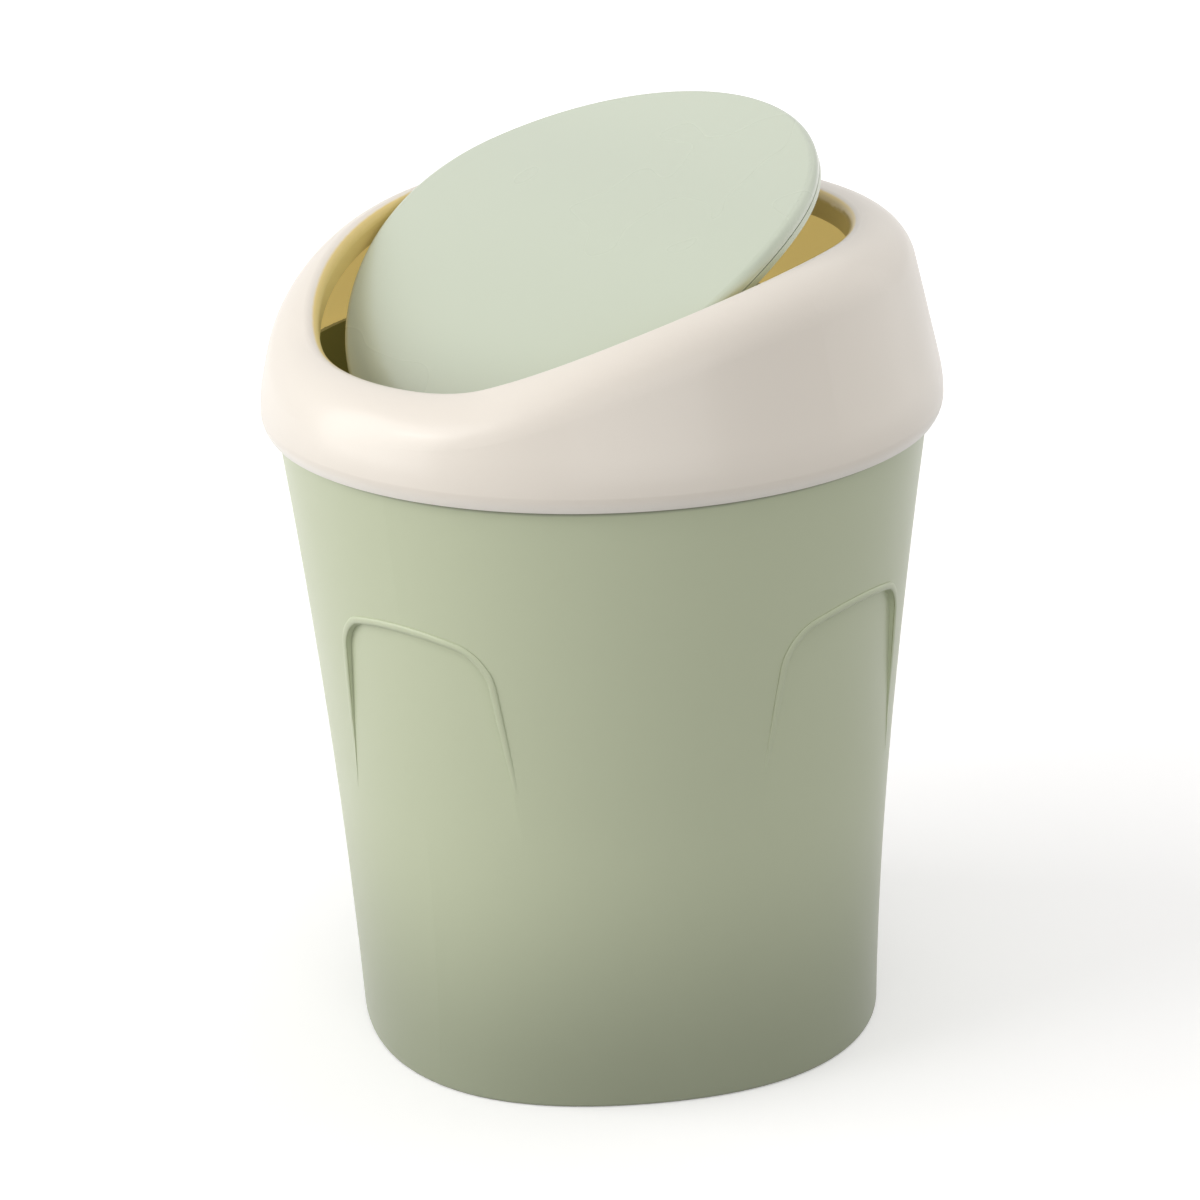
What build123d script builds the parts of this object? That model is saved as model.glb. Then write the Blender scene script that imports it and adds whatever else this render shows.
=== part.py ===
from build123d import *
import math
import os

os.makedirs("parts", exist_ok=True)

# Countertop trash can with a swing lid, in millimetres.
# Origin: centre of the base, on the table.  +Z up, -Y toward the low side of the mouth.
# "Forward" below is the distance toward the low side, so forward = -Y.

# ---------------------------------------------------------------- bin body
base_radius = 50.8            # half width of the base across its flats
mid_radius = 54.4             # outside radius half way up the wall
shoulder_radius = 60.4        # outside radius at the ledge that carries the head ring
shoulder_height = 119.5       # height of that ledge
corner_bulge = 2.9            # how far the base's four corners stand out past a circle
corner_fade_height = 58.0     # height at which the body has become round
outline_points = 24           # points round the body that its outline runs through
outline_levels = 8            # steps between the outlines that its wall runs through
bin_wall = 1.6
floor_thickness = 2.0
foot_recess = 1.2             # the floor is raised by this inside the foot
foot_width = 4.0
base_edge_round = 0.6
ledge_width = 0.8             # flat step on which the head ring sits
neck_height = 9.6             # plain neck above the ledge, inside the head ring
neck_wall = 1.6
neck_edge_round = 0.6

# ---------------------------------------------------------------- arched panels
panel_count = 4
panel_turn = 10.5             # degrees from the low side of the mouth to the first panel
panel_top_height = 90.6
panel_top_crown = 1.9         # rise of the arch between its rounded corners
panel_half_width = 17.4       # at the arch's corners
panel_lean = 8.5              # degrees that each side leans out on its way down
panel_corner_radius = 8.0
panel_step = 1.1              # depth of the recess at the top of the arch
panel_fade_height = 43.0      # height at which the recess runs out
panel_draft = 20.0            # degrees of slope on the recess's edge
panel_foot_height = 20.0      # lower end of the cut, well below the fade
panel_cut_inward = 12.0       # reach of the cut from the wall toward the middle
panel_cut_outward = 8.0       # and away from it

# ---------------------------------------------------------------- head ring
ring_overhang = 2.8           # how far the ring's widest place stands out past the body's ledge
ring_foot_curl = 0.9          # how far its lower edge draws in again
ring_foot_rise = 2.8          # from the lower edge up to the widest place
ring_belly_radius = 25.0      # upright bend of the wall above its widest
ring_taper = 13.5             # degrees that the outer wall leans in above that bend
ring_wall = 1.8
ring_band_height = 6.0        # thicker band at the ring's foot that slides over the neck
ring_rise = 35.7              # from the body's ledge to the ring's level top at the back
ring_slope_start = -14.5      # forward position where the top begins to bend down
ring_slope_radius = 122.0     # radius of that bend, seen from the side
ring_front_turn = 48.0        # forward position where the bend turns into a hollow
ring_front_radius = 14.0      # radius of that hollow, which ends level at the front
ring_shoulder_round = 10.0
ring_seat_gap = 0.2           # between the ring's lower edge and the body's ledge
neck_clearance = 0.3          # between the ring's band and the neck
ring_top_width = 14.7         # from the ring's widest place in to the mouth, on average
mouth_forward = 3.7           # the mouth's centre lies this far forward
lip_wall = 3.0
lip_depth = 5.2               # height of the turned-down lip, with the top's thickness
lip_edge_round = 2.0

# ---------------------------------------------------------------- swing lid
lid_gap = 1.5                 # between the lid's edge and the mouth
lid_cover_wall = 1.1
lid_cover_depth = 2.1         # height of the cover's edge
lid_edge_round = 1.4
lid_seam = 0.2                # groove between the cover and the liner
liner_wall = 1.1
liner_rim_wall = 1.2
liner_rim_fit = 0.15          # between the liner's rim and the cover's skirt
lid_open_angle = 21.5         # degrees from closed, low side pushed in, as photographed

# ---------------------------------------------------------------- hinge
hinge_forward = 6.8
hinge_drop = 10.0             # from the ring's level top down to the hinge
pin_radius = 2.0
pin_fit = 0.05                # radial running fit in the lug
pin_shoulder_radius = 3.2
pin_end_stand_out = 0.4       # the pin's end beyond the lug
lug_wall = 2.0
lug_radius = 5.0
lug_step = 0.1                # the lug stands this far back from the mouth's wall
lug_side_gap = 0.3            # between the pin's shoulder and the lug
ear_wall = 2.0
ear_radius = 4.4
ear_inset = 1.2               # from the lid's edge to the ear's outer face

# ---------------------------------------------------------------- derived sizes
neck_top = shoulder_height + neck_height
ring_bottom = shoulder_height + ring_seat_gap
ring_widest_height = ring_bottom + ring_foot_rise
ring_widest_radius = shoulder_radius + ring_overhang
ring_bottom_radius = ring_widest_radius - ring_foot_curl
ring_back_height = shoulder_height + ring_rise
hinge_height = ring_back_height - hinge_drop
mouth_radius = ring_widest_radius - ring_top_width
neck_radius = shoulder_radius - ledge_width
ring_bore_radius = neck_radius + neck_clearance
lid_radius = mouth_radius - lid_gap
lug_inner_x = mouth_radius + lug_step
reach = 2 * ring_back_height      # longer than any cut has to be
cut_over = 1.0                    # how far a cut runs past the face that it opens
hinge_axis = Axis((0, -hinge_forward, hinge_height), (1, 0, 0))


def wall_radius(height):
    """Outside radius of the round body: a gentle curve through three sizes."""
    t = height / shoulder_height
    bend = 2 * (base_radius + shoulder_radius - 2 * mid_radius)
    slope = shoulder_radius - base_radius - bend
    return base_radius + slope * t + bend * t * t


def bulge(height):
    """How far the body stands out past a circle at its corners, at one height."""
    return corner_bulge * max(0.0, 1 - height / corner_fade_height) ** 2


def body_section(height, inset):
    """Closed outline of the body at one height: a rounded square that turns into a circle."""
    swing = bulge(height) / 2
    middle = wall_radius(height) + swing - inset
    points = []
    for step in range(outline_points):
        angle = math.radians(360 / outline_points * step)
        radius = middle + swing * math.cos(panel_count * angle)
        points.append((radius * math.cos(angle), radius * math.sin(angle), height))
    return make_face(Spline(*points, periodic=True))


def body_form(inset, bottom, top):
    """The body's outer form between two heights, drawn in by inset."""
    heights = [bottom + (top - bottom) * n / outline_levels for n in range(outline_levels + 1)]
    return loft([body_section(height, inset) for height in heights])


def panel_floor(inset):
    """Everything inside the surface that the recessed panels lie on, flared out below them."""
    low_radius = wall_radius(panel_fade_height) + bulge(panel_fade_height) - inset
    high_radius = wall_radius(panel_top_height) - panel_step - inset
    slope = (high_radius - low_radius) / (panel_top_height - panel_fade_height)
    profile = Polyline(
        (0, 0, 0),
        (low_radius + panel_fade_height, 0, 0),
        (low_radius, 0, panel_fade_height),
        (low_radius + slope * (shoulder_height - panel_fade_height), 0, shoulder_height),
        (0, 0, shoulder_height),
        close=True,
    )
    return revolve(make_face(profile), Axis.Z)


def panel_cutter(grow):
    """Arch-topped prism that points outward along +X, larger by grow on its sides and top."""
    top = panel_top_height + grow
    half = panel_half_width + grow
    drop = top - panel_foot_height
    foot_half = half + drop * math.tan(math.radians(panel_lean))
    outline = make_face(
        Polyline((-half, top), (-foot_half, panel_foot_height), (foot_half, panel_foot_height), (half, top))
        + ThreePointArc((half, top), (0, top + panel_top_crown), (-half, top))
    )
    top_corners = outline.vertices().sort_by(Axis.Y)[-2:]
    outline = fillet(top_corners, panel_corner_radius)
    plane = Plane(origin=(wall_radius(panel_top_height), 0, 0), x_dir=(0, 1, 0), z_dir=(1, 0, 0))
    inner = extrude(plane * outline, amount=-panel_cut_inward, taper=panel_draft)
    outer = extrude(plane * outline, amount=panel_cut_outward)
    return inner + outer


def bin_shell_form(inset, grow, bottom, top):
    """Body form with its recessed panels, for the outside or the inside of the wall."""
    form = body_form(inset, bottom, top)
    floor = panel_floor(inset)
    recess = panel_cutter(grow) - floor
    for number in range(panel_count):
        form -= Rot(0, 0, 360 / panel_count * number) * recess
    return form


def make_bin_body():
    """Tapered bin with a foot, four arched panels, a ledge and a neck for the head ring."""
    outside = bin_shell_form(0, 0, 0, shoulder_height)
    outside = fillet(outside.edges().group_by(Axis.Z)[0], base_edge_round)
    neck = Cylinder(neck_radius, neck_height + bin_wall, align=(Align.CENTER, Align.CENTER, Align.MAX))
    neck = Pos(0, 0, neck_top) * neck
    neck = fillet(neck.edges().sort_by(Axis.Z)[-1], neck_edge_round)

    cavity_bottom = foot_recess + floor_thickness
    inside = bin_shell_form(bin_wall, bin_wall, cavity_bottom, shoulder_height)
    neck_inside = neck_radius - neck_wall
    jog = wall_radius(shoulder_height) - bin_wall - neck_inside
    limit = Polyline(
        (0, 0, 0),
        (reach, 0, 0),
        (reach, 0, shoulder_height - bin_wall - reach + neck_inside),
        (neck_inside, 0, shoulder_height - bin_wall),
        (neck_inside, 0, shoulder_height),
        (0, 0, shoulder_height),
        close=True,
    )
    inside &= revolve(make_face(limit), Axis.Z)
    bore = Pos(0, 0, neck_top) * Cylinder(
        neck_inside, neck_height + jog, align=(Align.CENTER, Align.CENTER, Align.MAX)
    )
    foot = body_form(foot_width, 0, foot_recess)
    turned = Rot(0, 0, panel_turn - 90) * (outside + neck - inside - bore - foot)
    return turned


def top_angle():
    """Steepest slope of the ring's top, where its bend turns into the front hollow."""
    return math.asin((ring_front_turn - ring_slope_start) / ring_slope_radius)


def top_height(forward):
    """Height of the ring's top surface at one forward position, before its edges are rounded."""
    bend_centre = ring_back_height - ring_slope_radius
    slope = top_angle()
    both = ring_slope_radius + ring_front_radius
    hollow_centre = bend_centre + both * math.cos(slope)
    front_start = ring_slope_start + both * math.sin(slope)
    if forward < ring_slope_start:
        return ring_back_height
    if forward < ring_front_turn:
        return bend_centre + math.sqrt(ring_slope_radius ** 2 - (forward - ring_slope_start) ** 2)
    if forward < front_start:
        return hollow_centre - math.sqrt(ring_front_radius ** 2 - (front_start - forward) ** 2)
    return hollow_centre - ring_front_radius


def under_top(depth):
    """Everything below the ring's sloping top, lowered by depth at right angles to it."""
    slope = top_angle()
    both = ring_slope_radius + ring_front_radius
    bend = Vector(0, -ring_slope_start, ring_back_height - ring_slope_radius)
    hollow = bend + both * Vector(0, -math.sin(slope), math.cos(slope))

    def on_bend(angle):
        return bend + (ring_slope_radius - depth) * Vector(0, -math.sin(angle), math.cos(angle))

    def on_hollow(angle):
        return hollow - (ring_front_radius + depth) * Vector(0, -math.sin(angle), math.cos(angle))

    level = ring_back_height - depth
    side = ThreePointArc(on_bend(0), on_bend(slope / 2), on_bend(slope))
    side += ThreePointArc(on_hollow(slope), on_hollow(slope / 2), on_hollow(0))
    front_level = on_hollow(0).Z
    side += Polyline(
        on_hollow(0), (0, -reach, front_level), (0, -reach, 0), (0, reach, 0), (0, reach, level), on_bend(0)
    )
    return extrude(make_face(side), amount=reach, dir=(1, 0, 0), both=True)


def ring_form(inset):
    """The head ring's closed outer form, drawn in by inset on its wall and its top."""
    widest = ring_widest_radius - inset
    lower = ring_bottom_radius - inset
    belly = ring_belly_radius - inset
    taper = math.radians(ring_taper)

    def on_belly(angle):
        return Vector(
            widest - belly * (1 - math.cos(angle)), 0, ring_widest_height + belly * math.sin(angle)
        )

    start = on_belly(taper)
    rise = ring_back_height + ring_wall - start.Z
    end = start + Vector(-rise * math.tan(taper), 0, rise)
    profile = TangentArc(on_belly(0), (lower, 0, ring_bottom), tangent=(0, 0, -1))
    profile += ThreePointArc(on_belly(0), on_belly(taper / 2), start)
    profile += Polyline(start, end, (0, 0, end.Z), (0, 0, ring_bottom), (lower, 0, ring_bottom))
    round_wall = revolve(make_face(profile), Axis.Z)
    top = under_top(inset)
    form = round_wall & top
    ridge = new_edges(round_wall, top, combined=form)
    ridge = ridge.filter_by(lambda edge: edge.geom_type != GeomType.LINE)
    return fillet(ridge, ring_shoulder_round - inset)


def make_head_ring():
    """Collar with a sloping, softly rounded top, a turned-down lip and two hinge lugs."""
    outside = ring_form(0)
    band = Cylinder(reach, ring_band_height) - Cylinder(ring_bore_radius, ring_band_height)
    inside = ring_form(ring_wall) - Pos(0, 0, ring_bottom + ring_band_height / 2) * band
    mouth = Pos(0, -mouth_forward, 0) * Cylinder(
        mouth_radius, reach, align=(Align.CENTER, Align.CENTER, Align.MIN)
    )
    lip = Pos(0, -mouth_forward, 0) * Cylinder(
        mouth_radius + lip_wall, reach, align=(Align.CENTER, Align.CENTER, Align.MIN)
    )
    lip = lip & (under_top(ring_wall / 2) - under_top(lip_depth))
    ring = outside - inside + lip
    for side in (-1, 1):
        ring += hinge_lug(side)
    ring -= mouth
    mouth_edge = ring.edges().filter_by(lambda edge: on_top_edge(edge, mouth_radius))
    ring = fillet(mouth_edge, lip_edge_round)
    for side in (-1, 1):
        ring -= hinge_cylinder(pin_radius + pin_fit, side, lug_inner_x - cut_over, lug_wall + 2 * cut_over)
    return ring


def on_top_edge(edge, radius):
    """True for an edge where the ring's top surface meets an upright round wall of the mouth."""
    middle = edge @ 0.5
    off = math.hypot(middle.X, middle.Y + mouth_forward) - radius
    return abs(off) < 0.01 and abs(middle.Z - top_height(-middle.Y)) < 0.05


def hinge_cylinder(radius, side, start, length):
    """Cylinder on the hinge axis, from x = start outward on one side."""
    body = Cylinder(radius, length, rotation=(0, 90, 0), align=(Align.CENTER, Align.CENTER, Align.MIN))
    if side < 0:
        body = Rot(0, 180, 0) * body
    return Pos(side * start, -hinge_forward, hinge_height) * body


def hinge_plate(radius, side, start, width, top):
    """Plate that hangs from top to the hinge axis, with a round lower end."""
    post = Pos(side * (start + width / 2), -hinge_forward, (hinge_height + top) / 2)
    post = post * Box(width, 2 * radius, top - hinge_height)
    return post + hinge_cylinder(radius, side, start, width)


def hinge_lug(side):
    """Lug under the ring's top that carries the lid's pin."""
    return hinge_plate(lug_radius, side, lug_inner_x, lug_wall, ring_back_height) & under_top(ring_wall / 2)


def lid_slab(radius, top_depth, bottom_depth):
    """Round slab of the lid between two depths under the ring's top surface, lid closed."""
    round_blank = Pos(0, -mouth_forward, 0) * Cylinder(
        radius, reach, align=(Align.CENTER, Align.CENTER, Align.MIN)
    )
    return round_blank & (under_top(top_depth) - under_top(bottom_depth))


def opened(shape):
    """Turn a piece of the closed lid about the hinge to the photographed angle."""
    return shape.rotate(hinge_axis, lid_open_angle)


def make_lid_cover():
    """Outer skin of the lid: curved top with a rounded edge and a short skirt."""
    cover = lid_slab(lid_radius, 0, lid_cover_depth)
    rim = cover.edges().filter_by(lambda edge: on_top_edge(edge, lid_radius))
    cover = fillet(rim, lid_edge_round)
    cover -= lid_slab(lid_radius - lid_cover_wall, lid_cover_wall, lid_cover_depth + cut_over)
    return opened(cover)


def make_lid_liner():
    """Under side of the lid: flanged plate with a locating rim, two ears and their pins."""
    plate_top = lid_cover_depth + lid_seam
    plate_bottom = plate_top + liner_wall
    rim_radius = lid_radius - lid_cover_wall - liner_rim_fit
    rim_top = lid_cover_wall + liner_rim_fit
    liner = lid_slab(lid_radius, plate_top, plate_bottom)
    rim = lid_slab(rim_radius, rim_top, plate_top + liner_wall / 2)
    rim -= lid_slab(rim_radius - liner_rim_wall, 0, plate_top + liner_wall)
    liner += rim
    ear_start = lid_radius - ear_inset - ear_wall
    for side in (-1, 1):
        ear = hinge_plate(ear_radius, side, ear_start, ear_wall, ring_back_height)
        liner += ear & under_top(plate_top + liner_wall / 2)
        shoulder_start = ear_start + ear_wall / 2
        shoulder_end = lug_inner_x - lug_side_gap
        liner += hinge_cylinder(pin_shoulder_radius, side, shoulder_start, shoulder_end - shoulder_start)
        pin_end = lug_inner_x + lug_wall + pin_end_stand_out
        liner += hinge_cylinder(pin_radius, side, shoulder_start, pin_end - shoulder_start)
    return opened(liner)


pieces = {
    "bin_body": make_bin_body(),
    "head_ring": make_head_ring(),
    "lid_cover": make_lid_cover(),
    "lid_liner": make_lid_liner(),
}

for name, piece in pieces.items():
    export_step(piece, f"parts/{name}.step")
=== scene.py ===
import math

import bmesh
import bpy
from bpy.props import FloatProperty, FloatVectorProperty, PointerProperty
from mathutils import Matrix, Vector
from mathutils.bvhtree import BVHTree


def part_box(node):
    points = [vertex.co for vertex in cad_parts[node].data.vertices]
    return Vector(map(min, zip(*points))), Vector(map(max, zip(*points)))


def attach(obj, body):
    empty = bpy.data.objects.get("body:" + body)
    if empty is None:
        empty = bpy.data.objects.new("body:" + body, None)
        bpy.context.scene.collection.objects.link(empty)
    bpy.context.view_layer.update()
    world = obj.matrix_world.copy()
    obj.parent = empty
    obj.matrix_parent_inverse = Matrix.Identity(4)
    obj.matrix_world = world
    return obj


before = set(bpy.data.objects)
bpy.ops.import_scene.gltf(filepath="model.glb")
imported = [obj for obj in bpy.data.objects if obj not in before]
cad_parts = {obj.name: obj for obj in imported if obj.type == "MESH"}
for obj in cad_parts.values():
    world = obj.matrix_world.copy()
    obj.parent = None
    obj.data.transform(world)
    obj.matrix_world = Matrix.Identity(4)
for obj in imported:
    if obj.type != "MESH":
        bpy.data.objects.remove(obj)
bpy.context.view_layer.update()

bl_info = {
    "name": "Countertop swing-lid bin",
    "version": (1, 0, 0),
    "blender": (4, 5, 0),
    "location": "3D View > Sidebar > Bin",
    "description": "Dresses a small swing-lid waste bin in moulded plastic and sets it on a studio floor",
    "category": "Object",
}

# Places on the bin that the painted shade, shadow, glow and highlight are laid by, in metres.
RING_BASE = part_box("head_ring")[0][2]
RING_HIGHLIGHT_LOW = RING_BASE + 0.0006      # up to here the ring's lower edge is pale, a painted highlight
RING_HIGHLIGHT_HIGH = RING_BASE + 0.0025     # and here that painted highlight has faded out
SEAM_SHADOW_LOW = RING_BASE - 0.0014           # from here up the body darkens, a painted shadow under the ring's edge
SEAM_SHADOW_HIGH = RING_BASE - 0.0007          # to its darkest just below the ring
BASE_SHADOW_TOP = 0.055                       # the body's painted shade at its base has faded out here
MOUTH_FORWARD = 0.0037                  # the mouth's centre lies this far toward -Y
MOUTH_RADIUS = 0.0485
LIP_FACE = 0.0005                       # depth behind the mouth's edge where the painted glow starts to rise
LIP_WALL = 0.003                        # and where it is full
# The lid's painted shade runs from its low side to its raised side.
LID_LOW_SIDE = -0.055
LID_RAISED_SIDE = 0.04

# Strength of the painted shade, shadow and glow, as shares.
BASE_SHADE = 0.6                        # of the body's colour, as painted shade at its foot
SEAM_SHADE = 0.45                       # of the body's colour, as painted shadow in the seam below the ring
LID_LOW_SHADE = 0.84                    # of the lid's colour, as painted shade at its low side
BODY_GLOW = 0.12                        # painted glow on the body's inner wall, standing in for light through it
RING_GLOW = 0.55                        # painted glow on the ring's inner wall, standing in for light through it
LIP_GLOW = 0.12                         # of the ring's painted glow, kept on its thicker lip, which lies in shade

# The moulded plastic.
PLASTIC_IOR = 1.49
SHEEN_SCALE = 40.0
SHEEN_RANGE = 0.03
RIPPLE_SCALE = 28.0

# The arched panels on the body, in metres and degrees.
PANEL_COUNT = 4
PANEL_TURN = 10.5                       # from the low side of the mouth to the first panel
PANEL_TOP = 0.0906
PANEL_CROWN = 0.0019
PANEL_HALF_WIDTH = 0.0174
PANEL_LEAN = 8.5
PANEL_CORNER_RUN = 0.0055               # from the arch's corner to where its rounding starts
PANEL_CORNER_PULL = 0.55                # how far the rounding is drawn toward the corner
PANEL_DRAFT = 20.0
PANEL_PLANE = 0.05758                   # distance from the axis at which the panel has its full width
PANEL_FOOT = 0.052                      # where the raised edge has run out
PANEL_FULL_EDGE = 0.082                 # where it has its full height
SIDE_STEPS = 24
CORNER_STEPS = 10
ARCH_STEPS = 10
OUTSIDE_WALL = 0.09                     # a distance from the axis that is clear of the body
WALL_ROUNDS = 3                         # the wall's distance sets the outline's width, and the reverse
EDGE_SIDES = 12                         # sides of the bead's cross-section
EDGE_LEAST_HEIGHT = 0.02                # share of its height left at its ends
EDGE_LEAST_WIDTH = 0.4                  # share of its width left there

# The camera that took the photograph, in degrees and metres. Azimuth 0 looks at the mouth's low side.
CAMERA_AZIMUTH = 50.0
CAMERA_ELEVATION = 20.68
CAMERA_ROLL = -1.741
CAMERA_DISTANCE = 0.570
CAMERA_TARGET_RIGHT = -0.00149
CAMERA_TARGET_HEIGHT = 0.08082
CAMERA_FOCAL_PIXELS = 2985.07
CAMERA_CLIP_START = 0.01
PHOTO_PIXELS = 1200
SENSOR_WIDTH = 36.0                     # millimetres

# The studio.
BIN_CENTRE = (0, 0, 0.09)
RING_CENTRE = (0, 0, 0.13)
WHITE = (1.0, 1.0, 1.0)
LAMP_COLOUR = (1.0, 0.985, 0.96)
GLOW_NEAR = 0.12                        # metres from the bin where the floor's own white starts to rise
GLOW_FAR = 1.6                          # and where it is full
GLOW_LEAST = 0.22
GLOW_MOST = 0.9


def srgb(red, green, blue):
    """Linear colour of a tint given as display values from 0 to 255."""
    linear = []
    for value in (red, green, blue):
        part = value / 255
        linear.append(part / 12.92 if part <= 0.04045 else ((part + 0.055) / 1.055) ** 2.4)
    return tuple(linear)


def shaded(colour, share):
    """The colour made darker."""
    return tuple(part * share for part in colour)


# ---------------------------------------------------------------- settings a user would change
def tint(name, description, colour):
    return FloatVectorProperty(
        name=name, description=description, default=colour, subtype="COLOR", size=3, min=0, max=1
    )


def power(name, description, watts):
    return FloatProperty(name=name, description=description, default=watts, min=0, max=100, unit="POWER")


class BinPlasticSettings(bpy.types.PropertyGroup):
    """Colours and finish of the bin's mouldings."""

    body: tint("Body", "Colour of the tapered bin body", srgb(191, 199, 171))
    # Painted shade: the darker olive of the inner wall stands in for the shade inside the bin; it is also the
    # colour of its painted glow.
    body_inside_shade_and_glow: tint("Body inside", "Colour of the body's inner wall", srgb(122, 118, 62))
    ring: tint("Head ring", "Colour of the head ring's outside", srgb(230, 223, 214))
    # Painted highlight: the pale band along the ring's lower edge.
    ring_foot_highlight: tint("Ring foot", "Colour of the head ring's lower edge", srgb(246, 241, 235))
    # Painted warm light: the gold stands in for light coming through the cream ring's inner wall; it is also
    # the colour of its painted glow.
    ring_inside_warm_light: tint("Ring inside", "Colour of the head ring's inner wall", srgb(214, 190, 118))
    lid: tint("Lid", "Colour of the swing lid", srgb(201, 210, 192))
    lid_under: tint("Lid liner", "Colour of the lid's under side", srgb(192, 201, 178))
    gloss_roughness: FloatProperty(
        name="Roughness", description="Mean roughness of the moulded surface", default=0.3, min=0.02, max=1
    )
    edge_width: FloatProperty(
        name="Panel edge width", description="Width of the raised edge round each arched panel",
        default=0.0014, min=0.0002, max=0.01, unit="LENGTH",
    )
    edge_height: FloatProperty(
        name="Panel edge height", description="How far that edge stands proud of the wall",
        default=0.00035, min=0.0, max=0.005, unit="LENGTH",
    )
    peel_height: FloatProperty(
        name="Surface ripple", description="Height of the soft ripple left by the mould",
        default=0.00002, min=0, max=0.001, unit="LENGTH",
    )


class BinStageSettings(bpy.types.PropertyGroup):
    """Sizes, colours and lamps of the studio."""

    floor_size: FloatProperty(
        name="Floor size", description="Side of the square floor", default=6.0, min=1, max=50, unit="LENGTH"
    )
    floor_colour: tint("Floor", "Colour of the floor", (0.92, 0.92, 0.94))
    floor_bounce: tint("Floor bounce", "Colour that the floor throws back onto the bin", (0.22, 0.22, 0.21))
    world_light: FloatProperty(
        name="World light", description="Strength of the light from all round", default=0.56, min=0, max=10
    )
    key_power: power("Key light", "Power of the large lamp on the left", 7.1)
    fill_power: power("Fill light", "Power of the lamp near the camera", 4.1)
    rim_power: power("Rim light", "Power of the lamp on the right", 1.0)
    spark_power: power("Small light", "Power of the small lamp that lights the ring's front", 0.35)
    top_power: power("Top light", "Power of the lamp high up behind the bin", 2.0)


class BinSettings(bpy.types.PropertyGroup):
    """Everything that the bin's panel shows."""

    plastic: PointerProperty(type=BinPlasticSettings)
    stage: PointerProperty(type=BinStageSettings)


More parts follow.
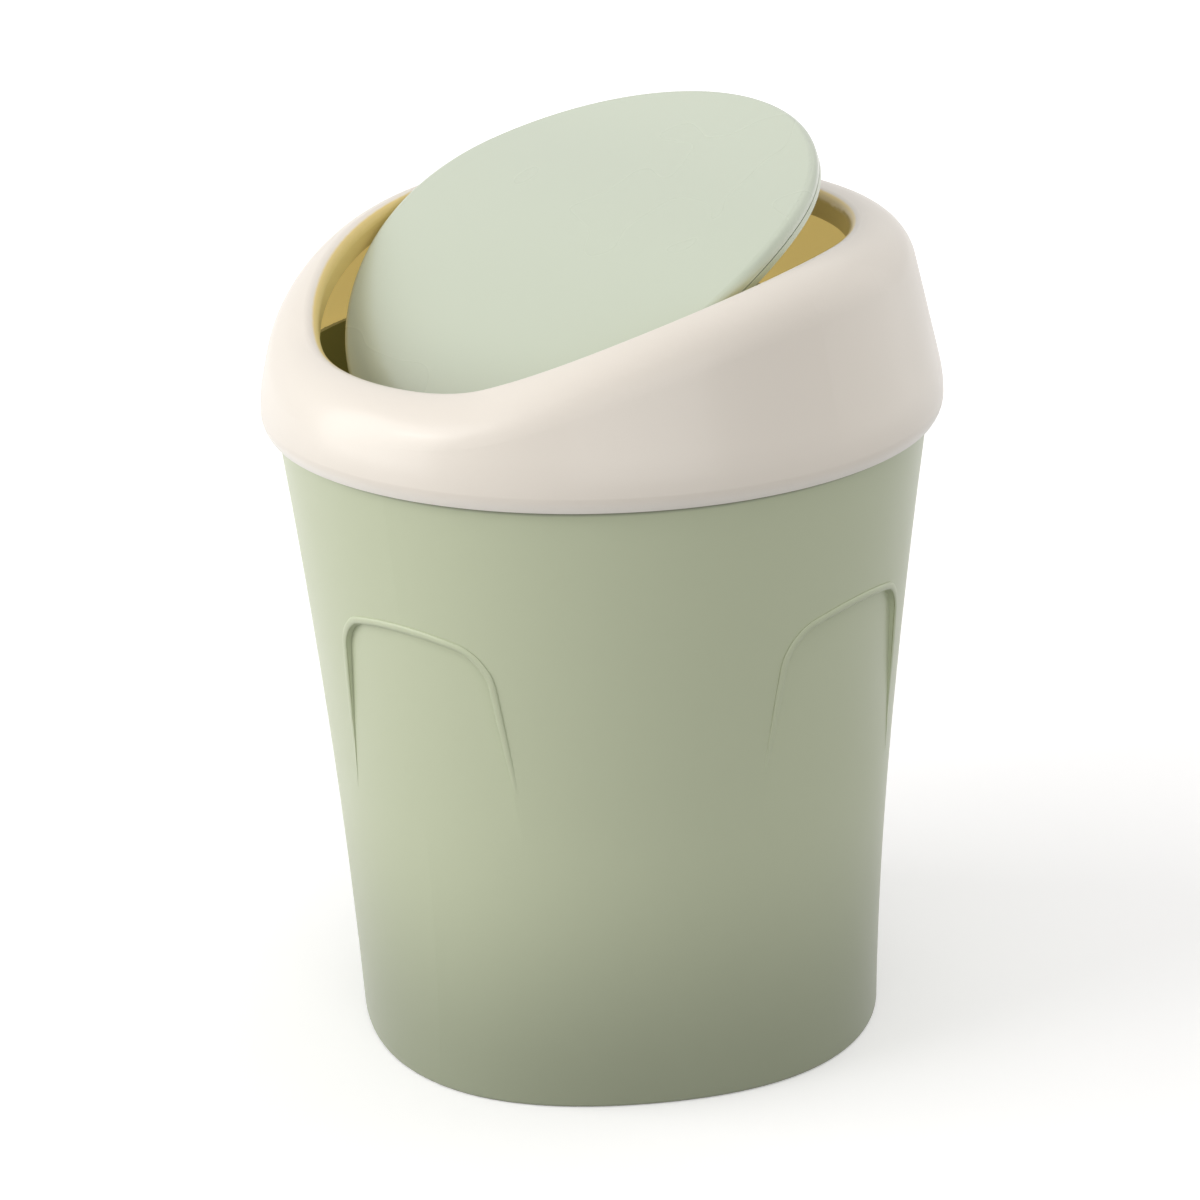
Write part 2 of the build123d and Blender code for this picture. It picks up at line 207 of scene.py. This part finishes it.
# ---------------------------------------------------------------- node helpers
class Shading:
    """Short calls that add and join nodes in one material."""

    def __init__(self, name):
        self.material = bpy.data.materials.new(name)
        self.material.use_nodes = True
        self.tree = self.material.node_tree
        self.tree.nodes.clear()
        output = self.add("ShaderNodeOutputMaterial")
        self.surface = self.add("ShaderNodeBsdfPrincipled")
        self.join(self.surface.outputs["BSDF"], output.inputs["Surface"])
        self.place = self.add("ShaderNodeTexCoord").outputs["Object"]

    def add(self, kind, **settings):
        node = self.tree.nodes.new(kind)
        for key, value in settings.items():
            setattr(node, key, value)
        return node

    def join(self, source, target):
        self.tree.links.new(source, target)

    def feed(self, socket, value):
        """Sets a socket to a number or joins it to another node's output."""
        if isinstance(value, bpy.types.NodeSocket):
            self.join(value, socket)
        else:
            socket.default_value = value

    def finish(self, name, value):
        """Feeds one of the plastic's own sockets."""
        self.feed(self.surface.inputs[name], value)

    def maths(self, operation, first, second=0.0):
        node = self.add("ShaderNodeMath", operation=operation)
        self.feed(node.inputs[0], first)
        self.feed(node.inputs[1], second)
        return node.outputs[0]

    def vector_maths(self, operation, output, *values):
        node = self.add("ShaderNodeVectorMath", operation=operation)
        for socket, value in zip(node.inputs, values):
            self.join(value, socket)
        return node.outputs[output]

    def noise(self, scale, detail=0.0, stretch=(1, 1, 1)):
        mapping = self.add("ShaderNodeMapping")
        self.join(self.place, mapping.inputs["Vector"])
        mapping.inputs["Scale"].default_value = stretch
        node = self.add("ShaderNodeTexNoise")
        self.join(mapping.outputs["Vector"], node.inputs["Vector"])
        node.inputs["Scale"].default_value = scale
        node.inputs["Detail"].default_value = detail
        return node.outputs["Fac"]

    def spread(self, value, low, high, from_low=0.0, from_high=1.0, smooth=False):
        """Takes the stretch of values between from_low and from_high to low and high, and holds the rest."""
        node = self.add("ShaderNodeMapRange", clamp=True)
        if smooth:
            node.interpolation_type = "SMOOTHSTEP"
        self.feed(node.inputs["Value"], value)
        node.inputs["From Min"].default_value = from_low
        node.inputs["From Max"].default_value = from_high
        node.inputs["To Min"].default_value = low
        node.inputs["To Max"].default_value = high
        return node.outputs["Result"]

    def mix(self, fraction, first, second):
        node = self.add("ShaderNodeMix", data_type="RGBA")
        self.feed(node.inputs["Factor"], fraction)
        for socket, colour in ((node.inputs[6], first), (node.inputs[7], second)):
            self.feed(socket, colour if isinstance(colour, bpy.types.NodeSocket) else (*colour, 1))
        return node.outputs[2]

    def parts_of_place(self):
        node = self.add("ShaderNodeSeparateXYZ")
        self.join(self.place, node.inputs[0])
        return node.outputs

    def facing_inward(self):
        """1 where the surface faces the bin's upright axis, 0 where it faces away from it."""
        x, y, _ = self.parts_of_place()
        level = self.add("ShaderNodeCombineXYZ")
        self.join(x, level.inputs[0])
        self.join(y, level.inputs[1])
        outward = self.vector_maths("NORMALIZE", "Vector", level.outputs[0])
        normal = self.add("ShaderNodeNewGeometry").outputs["Normal"]
        turned = self.vector_maths("DOT_PRODUCT", "Value", outward, normal)
        return self.spread(turned, 1.0, 0.0, from_low=-0.55, from_high=-0.35)

    def distance_from_mouth_axis(self):
        x, y, _ = self.parts_of_place()
        forward = self.maths("ADD", y, MOUTH_FORWARD)
        squares = self.maths("ADD", self.maths("MULTIPLY", x, x), self.maths("MULTIPLY", forward, forward))
        return self.maths("SQRT", squares)

    def mottled(self, colour, amount, scale, stretch=(1, 1, 1)):
        """The colour with a faint lighter and darker drift, as in pigmented plastic."""
        drift = self.noise(scale, detail=1.0, stretch=stretch)
        light = tuple(min(1.0, part * (1 + amount)) for part in colour)
        dark = shaded(colour, 1 - amount)
        return self.mix(self.spread(drift, 0, 1, from_low=0.2, from_high=0.8, smooth=True), dark, light)

    def paint_glow(self, colour, where, strength):
        """Painted glow: an emission that stands in for light coming through the thin wall, on the inner side
        only.
        """
        self.finish("Emission Color", colour)
        self.finish("Emission Strength", self.maths("MULTIPLY", where, strength))

    def moulded_finish(self, settings, colour, rougher, coat=0.0, coat_roughness=0.0):
        """Colour, gloss, soft ripple and slightly uneven sheen of a moulded surface."""
        self.finish("Base Color", colour)
        roughness = settings.gloss_roughness + rougher
        sheen = self.noise(SHEEN_SCALE, detail=1.0)
        uneven = self.spread(
            sheen, roughness - SHEEN_RANGE, roughness + SHEEN_RANGE, from_low=0.2, from_high=0.8, smooth=True
        )
        self.finish("Roughness", uneven)
        self.finish("IOR", PLASTIC_IOR)
        self.finish("Coat Weight", coat)
        self.finish("Coat Roughness", coat_roughness)
        bump = self.add("ShaderNodeBump")
        bump.inputs["Strength"].default_value = 1.0
        bump.inputs["Distance"].default_value = settings.peel_height
        self.join(self.noise(RIPPLE_SCALE), bump.inputs["Height"])
        self.finish("Normal", bump.outputs["Normal"])


def wear(node_name, material):
    """Puts a material on a CAD node's own slots."""
    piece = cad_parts[node_name]
    if not piece.material_slots:
        raise RuntimeError(f"{node_name} has no material slot")
    for place in piece.material_slots:
        place.material = material


def seen_directly(tree):
    """Output that is 1 for the camera's rays, reflections and refractions, 0 for rays that carry light."""
    path = tree.nodes.new("ShaderNodeLightPath")
    seen = path.outputs["Is Camera Ray"]
    for ray in ("Is Glossy Ray", "Is Transmission Ray"):
        either = tree.nodes.new("ShaderNodeMath")
        either.operation = "MAXIMUM"
        tree.links.new(seen, either.inputs[0])
        tree.links.new(path.outputs[ray], either.inputs[1])
        seen = either.outputs[0]
    return seen


# ---------------------------------------------------------------- raised edges of the panels
def bezier(first, second, third, fourth, part):
    rest = 1 - part
    return (
        rest ** 3 * first
        + 3 * rest * rest * part * second
        + 3 * rest * part * part * third
        + part ** 3 * fourth
    )


def panel_edge_path():
    """One arched panel's outline as (across, up) points, from lower left over the arch to lower right."""
    corner = Vector((-PANEL_HALF_WIDTH, PANEL_TOP))
    down = Vector((-math.tan(math.radians(PANEL_LEAN)), -1)).normalized()
    along = Vector((1, 2 * PANEL_CROWN / PANEL_HALF_WIDTH)).normalized()
    start = corner + down * PANEL_CORNER_RUN
    end = corner + along * PANEL_CORNER_RUN
    foot = corner + down * ((PANEL_TOP - PANEL_FOOT) / abs(down.y))
    side = [foot.lerp(start, step / SIDE_STEPS) for step in range(SIDE_STEPS)]
    into = start.lerp(corner, PANEL_CORNER_PULL)
    out_of = end.lerp(corner, PANEL_CORNER_PULL)
    bend = [bezier(start, into, out_of, end, step / CORNER_STEPS) for step in range(CORNER_STEPS)]
    arch_start = end.x / PANEL_HALF_WIDTH
    arch = []
    for step in range(ARCH_STEPS + 1):
        share = arch_start * (1 - step / ARCH_STEPS)
        rise = PANEL_CROWN * (arch_start * arch_start - share * share)
        arch.append(Vector((share * PANEL_HALF_WIDTH, end.y + rise)))
    half = side + bend + arch
    return half + [Vector((-point.x, point.y)) for point in reversed(half[:-1])]


def grown(path, index, amount):
    """A point of the outline moved outward by amount."""
    before = path[max(0, index - 1)]
    after = path[min(len(path) - 1, index + 1)]
    run = (after - before).normalized()
    return path[index] + Vector((-run.y, run.x)) * amount


def panel_edge_line(surface, turn, standoff):
    """Points and normals on the body's wall along one panel's edge."""
    path = panel_edge_path()
    draft = math.tan(math.radians(PANEL_DRAFT))
    line = []
    for index in range(len(path)):
        shrink = 0.0
        for _ in range(WALL_ROUNDS):
            point = grown(path, index, standoff - shrink)
            start = turn @ Vector((OUTSIDE_WALL, point.x, point.y))
            hit, normal, _, _ = surface.ray_cast(start, turn @ Vector((-1, 0, 0)))
            if hit is None:
                raise RuntimeError("the body's wall was not found beside a panel")
            shrink = max(0.0, PANEL_PLANE - (turn.inverted() @ hit).x) * draft
        line.append((hit, normal))
    return line


def edge_share(height):
    """1 at the arch, falling softly to 0 at the lower ends of the raised edge."""
    part = min(1.0, max(0.0, (height - PANEL_FOOT) / (PANEL_FULL_EDGE - PANEL_FOOT)))
    return part * part * (3 - 2 * part)


def make_panel_edge(name, line, half_width, proud, sunk):
    """Low rounded bead that follows a line on the wall and runs out at both ends."""
    shape = bmesh.new()
    rings = []
    for index, (place, normal) in enumerate(line):
        before = line[max(0, index - 1)][0]
        after = line[min(len(line) - 1, index + 1)][0]
        side = (after - before).normalized().cross(normal).normalized()
        share = max(EDGE_LEAST_HEIGHT, edge_share(place.z))
        reach = half_width * (EDGE_LEAST_WIDTH + (1 - EDGE_LEAST_WIDTH) * share)
        middle = (proud - sunk) / 2 * share - (1 - share) * sunk
        ring = []
        for step in range(EDGE_SIDES):
            angle = 2 * math.pi * step / EDGE_SIDES
            rise = middle + math.sin(angle) * (proud + sunk) / 2 * share
            ring.append(shape.verts.new(place + side * (reach * math.cos(angle)) + normal * rise))
        rings.append(ring)
    for first, second in zip(rings, rings[1:]):
        for step in range(EDGE_SIDES):
            following = (step + 1) % EDGE_SIDES
            shape.faces.new((first[step], first[following], second[following], second[step]))
    shape.faces.new(list(reversed(rings[0])))
    shape.faces.new(rings[-1])
    bmesh.ops.recalc_face_normals(shape, faces=shape.faces)
    for face in shape.faces:
        face.smooth = True
    return placed(name, shape)


def placed(name, shape):
    """Object of that name in the scene, made from a bmesh, which is freed."""
    mesh = bpy.data.meshes.new(name)
    shape.to_mesh(mesh)
    shape.free()
    piece = bpy.data.objects.new(name, mesh)
    bpy.context.scene.collection.objects.link(piece)
    return piece


# ---------------------------------------------------------------- operators
class BIN_OT_dress_body(bpy.types.Operator):
    """Finishes the tapered bin body in pale green moulded plastic, with painted shade at its foot, in the
    seam and inside, and a painted glow on its inner wall
    """

    bl_idname = "swing_bin.dress_body"
    bl_label = "Finish the Body"

    def execute(self, context):
        settings = context.scene.swing_bin.plastic
        shading = Shading("body_plastic")
        height = shading.parts_of_place()[2]
        inward = shading.facing_inward()
        outside = shading.mottled(settings.body, amount=0.018, scale=9.0, stretch=(1, 1, 0.25))
        # Painted shade: the body is darker toward its foot.
        above_base_shadow = shading.spread(height, 0.0, 1.0, from_low=0.0, from_high=BASE_SHADOW_TOP, smooth=True)
        outside = shading.mix(above_base_shadow, shaded(settings.body, BASE_SHADE), outside)
        # Painted shadow: the body darkens in the seam just below the ring's edge.
        seam_shadow = shading.spread(height, 0.0, 1.0, from_low=SEAM_SHADOW_LOW, from_high=SEAM_SHADOW_HIGH, smooth=True)
        outside = shading.mix(seam_shadow, outside, shaded(settings.body, SEAM_SHADE))
        # Painted shade and glow: the inner wall gets a darker olive colour and an emission.
        inside = shading.mottled(settings.body_inside_shade_and_glow, amount=0.05, scale=14.0)
        shading.paint_glow(inside, inward, BODY_GLOW)
        shading.moulded_finish(settings, shading.mix(inward, outside, inside), rougher=0.06)
        wear("bin_body", shading.material)
        return {"FINISHED"}


class BIN_OT_make_panel_edges(bpy.types.Operator):
    """Adds the low rounded bead along the edge of each arched panel"""

    bl_idname = "swing_bin.make_panel_edges"
    bl_label = "Make the Panel Edges"

    def execute(self, context):
        settings = context.scene.swing_bin.plastic
        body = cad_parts["bin_body"]
        corners = [body.matrix_world @ vertex.co for vertex in body.data.vertices]
        surface = BVHTree.FromPolygons(corners, [face.vertices[:] for face in body.data.polygons])
        half_width = settings.edge_width / 2
        for number in range(PANEL_COUNT):
            angle = math.radians(PANEL_TURN - 90 + 360 / PANEL_COUNT * number)
            line = panel_edge_line(surface, Matrix.Rotation(angle, 3, "Z"), half_width)
            piece = make_panel_edge(
                f"panel_edge_{number + 1}", line, half_width, settings.edge_height, settings.edge_height / 2
            )
            piece.data.materials.append(body.material_slots[0].material)
            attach(piece, "bin")
        return {"FINISHED"}


class BIN_OT_dress_ring(bpy.types.Operator):
    """Finishes the head ring in cream plastic, with painted warm light, gold and glowing, on its inner wall
    and a painted highlight on its lower edge
    """

    bl_idname = "swing_bin.dress_ring"
    bl_label = "Finish the Head Ring"

    def execute(self, context):
        settings = context.scene.swing_bin.plastic
        shading = Shading("ring_plastic")
        height = shading.parts_of_place()[2]
        inward = shading.facing_inward()
        outside = shading.mottled(settings.ring, amount=0.015, scale=11.0)
        # Painted highlight: the ring's lower edge is made pale.
        foot = shading.spread(height, 1.0, 0.0, from_low=RING_HIGHLIGHT_LOW, from_high=RING_HIGHLIGHT_HIGH, smooth=True)
        outside = shading.mix(foot, outside, tuple(settings.ring_foot_highlight))
        # Painted warm light: the inner wall is gold and glows, less on the lip.
        inside = shading.mottled(settings.ring_inside_warm_light, amount=0.04, scale=16.0)
        beyond_lip = shading.spread(
            shading.distance_from_mouth_axis(), LIP_GLOW, 1.0,
            from_low=MOUTH_RADIUS + LIP_FACE, from_high=MOUTH_RADIUS + LIP_WALL,
        )
        shading.paint_glow(inside, shading.maths("MULTIPLY", inward, beyond_lip), RING_GLOW)
        shading.moulded_finish(
            settings, shading.mix(inward, outside, inside), rougher=0.06, coat=0.15, coat_roughness=0.07
        )
        wear("head_ring", shading.material)
        return {"FINISHED"}


class BIN_OT_dress_lid(bpy.types.Operator):
    """Finishes the swing lid's cover and liner in pale green moulded plastic, with painted shade toward the
    low side
    """

    bl_idname = "swing_bin.dress_lid"
    bl_label = "Finish the Lid"

    def execute(self, context):
        settings = context.scene.swing_bin.plastic
        self.dress(settings, "lid_cover", "lid_plastic", settings.lid)
        self.dress(settings, "lid_liner", "liner_plastic", settings.lid_under)
        return {"FINISHED"}

    def dress(self, settings, node_name, slot_name, colour):
        shading = Shading(slot_name)
        forward = shading.parts_of_place()[1]
        tone = shading.mottled(colour, amount=0.02, scale=16.0, stretch=(0.45, 1.7, 1))
        # Painted shade: the lid darkens toward its low side.
        low_side_shade = shading.spread(forward, 1.0, 0.0, from_low=LID_LOW_SIDE, from_high=LID_RAISED_SIDE)
        tone = shading.mix(low_side_shade, tone, shaded(colour, LID_LOW_SHADE))
        shading.moulded_finish(settings, tone, rougher=-0.02, coat=0.3, coat_roughness=0.12)
        wear(node_name, shading.material)


def aimed(place, target):
    """Matrix that stands at place and looks at target."""
    turn = (Vector(target) - Vector(place)).to_track_quat("-Z", "Y")
    return Matrix.Translation(place) @ turn.to_matrix().to_4x4()


def round_the_bin(azimuth, height, distance):
    """Point at one azimuth: 0 in front of the low side, 90 on its right."""
    angle = math.radians(azimuth)
    return (distance * math.sin(angle), -distance * math.cos(angle), height)


class BIN_OT_set_stage(bpy.types.Operator):
    """Sets the floor, the world, the lamps and the camera"""

    bl_idname = "swing_bin.set_stage"
    bl_label = "Set the Stage"

    def execute(self, context):
        settings = context.scene.swing_bin.stage
        self.make_floor(settings)
        self.make_world(context.scene, settings)
        self.make_lamp(
            "key_lamp", settings.key_power, width=0.9, tall=0.9,
            place=round_the_bin(azimuth=CAMERA_AZIMUTH - 80, height=0.42, distance=0.95),
        )
        self.make_lamp(
            "fill_lamp", settings.fill_power, width=1.0, tall=1.0,
            place=round_the_bin(azimuth=CAMERA_AZIMUTH + 12, height=0.34, distance=1.2),
        )
        self.make_lamp(
            "rim_lamp", settings.rim_power, width=0.7, tall=0.9,
            place=round_the_bin(azimuth=CAMERA_AZIMUTH + 105, height=0.3, distance=0.9),
        )
        self.make_lamp(
            "spark_lamp", settings.spark_power, width=0.2, tall=0.05,
            place=round_the_bin(azimuth=-17, height=0.54, distance=0.8), target=RING_CENTRE,
        )
        self.make_lamp("top_lamp", settings.top_power, width=1.0, tall=1.0, place=(0.05, 0.5, 1.1))
        self.make_camera(context.scene)
        return {"FINISHED"}

    def make_floor(self, settings):
        half = settings.floor_size / 2
        shape = bmesh.new()
        square = ((-half, -half), (half, -half), (half, half), (-half, half))
        shape.faces.new([shape.verts.new((x, y, 0)) for x, y in square])
        floor = placed("studio_floor", shape)
        shading = Shading("floor_paper")
        seen = seen_directly(shading.tree)
        paper = shading.mottled(settings.floor_colour, amount=0.004, scale=3.0)
        shading.finish("Base Color", shading.mix(seen, settings.floor_bounce, paper))
        shading.finish("Roughness", 0.9)
        shading.finish("Specular IOR Level", 0.0)
        away = shading.vector_maths("LENGTH", "Value", shading.place)
        glow = shading.spread(away, GLOW_LEAST, GLOW_MOST, from_low=GLOW_NEAR, from_high=GLOW_FAR)
        shading.finish("Emission Color", (*WHITE, 1))
        shading.finish("Emission Strength", shading.maths("MULTIPLY", seen, glow))
        floor.data.materials.append(shading.material)

    def make_world(self, scene, settings):
        """Soft light from all round, seen as plain white."""
        world = bpy.data.worlds.new("studio_world")
        world.use_nodes = True
        tree = world.node_tree
        tree.nodes.clear()
        output = tree.nodes.new("ShaderNodeOutputWorld")
        choose = tree.nodes.new("ShaderNodeMixShader")
        tree.links.new(seen_directly(tree), choose.inputs["Fac"])
        for socket, colour, strength in (
            (choose.inputs[1], LAMP_COLOUR, settings.world_light), (choose.inputs[2], WHITE, 1.0),
        ):
            background = tree.nodes.new("ShaderNodeBackground")
            background.inputs["Color"].default_value = (*colour, 1)
            background.inputs["Strength"].default_value = strength
            tree.links.new(background.outputs[0], socket)
        tree.links.new(choose.outputs[0], output.inputs["Surface"])
        scene.world = world

    def make_lamp(self, name, watts, width, tall, place, target=BIN_CENTRE):
        lamp = bpy.data.lights.new(name, "AREA")
        lamp.shape = "RECTANGLE"
        lamp.size = width
        lamp.size_y = tall
        lamp.energy = watts
        lamp.color = LAMP_COLOUR
        stand = bpy.data.objects.new(name, lamp)
        stand.matrix_world = aimed(place, target)
        bpy.context.scene.collection.objects.link(stand)

    def make_camera(self, scene):
        azimuth = math.radians(CAMERA_AZIMUTH)
        rise = math.radians(CAMERA_ELEVATION)
        roll = math.radians(CAMERA_ROLL)
        level_right = Vector((math.cos(azimuth), math.sin(azimuth), 0))
        level_back = Vector((math.sin(azimuth), -math.cos(azimuth), 0))
        back = math.cos(rise) * level_back + Vector((0, 0, math.sin(rise)))
        level_up = back.cross(level_right)
        right = math.cos(roll) * level_right + math.sin(roll) * level_up
        up = math.cos(roll) * level_up - math.sin(roll) * level_right
        target = CAMERA_TARGET_RIGHT * level_right + Vector((0, 0, CAMERA_TARGET_HEIGHT))
        place = target + CAMERA_DISTANCE * back
        turn = Matrix((right, up, back)).transposed().to_4x4()
        camera = bpy.data.cameras.new("photo_camera")
        camera.sensor_width = SENSOR_WIDTH
        camera.lens = CAMERA_FOCAL_PIXELS / PHOTO_PIXELS * SENSOR_WIDTH
        camera.clip_start = CAMERA_CLIP_START
        holder = bpy.data.objects.new("photo_camera", camera)
        holder.matrix_world = Matrix.Translation(place) @ turn
        scene.collection.objects.link(holder)
        scene.camera = holder
        scene.view_settings.view_transform = "Standard"


class BIN_PT_sidebar(bpy.types.Panel):
    """Lists the bin's settings and the steps that dress it"""

    bl_idname = "BIN_PT_sidebar"
    bl_label = "Swing-Lid Bin"
    bl_space_type = "VIEW_3D"
    bl_region_type = "UI"
    bl_category = "Bin"

    def draw(self, context):
        settings = context.scene.swing_bin
        for group in (settings.plastic, settings.stage):
            box = self.layout.box()
            for name in group.__annotations__:
                box.prop(group, name)
        for operator in OPERATORS:
            self.layout.operator(operator.bl_idname)


OPERATORS = (
    BIN_OT_dress_body, BIN_OT_make_panel_edges, BIN_OT_dress_ring, BIN_OT_dress_lid, BIN_OT_set_stage,
)
CLASSES = (BinPlasticSettings, BinStageSettings, BinSettings, *OPERATORS, BIN_PT_sidebar)


def register():
    for each in CLASSES:
        bpy.utils.register_class(each)
    bpy.types.Scene.swing_bin = PointerProperty(type=BinSettings)


def unregister():
    del bpy.types.Scene.swing_bin
    for each in reversed(CLASSES):
        bpy.utils.unregister_class(each)


def main():
    register()
    bpy.ops.swing_bin.dress_body()
    bpy.ops.swing_bin.make_panel_edges()
    bpy.ops.swing_bin.dress_ring()
    bpy.ops.swing_bin.dress_lid()
    bpy.ops.swing_bin.set_stage()


if __name__ == "__main__":
    main()
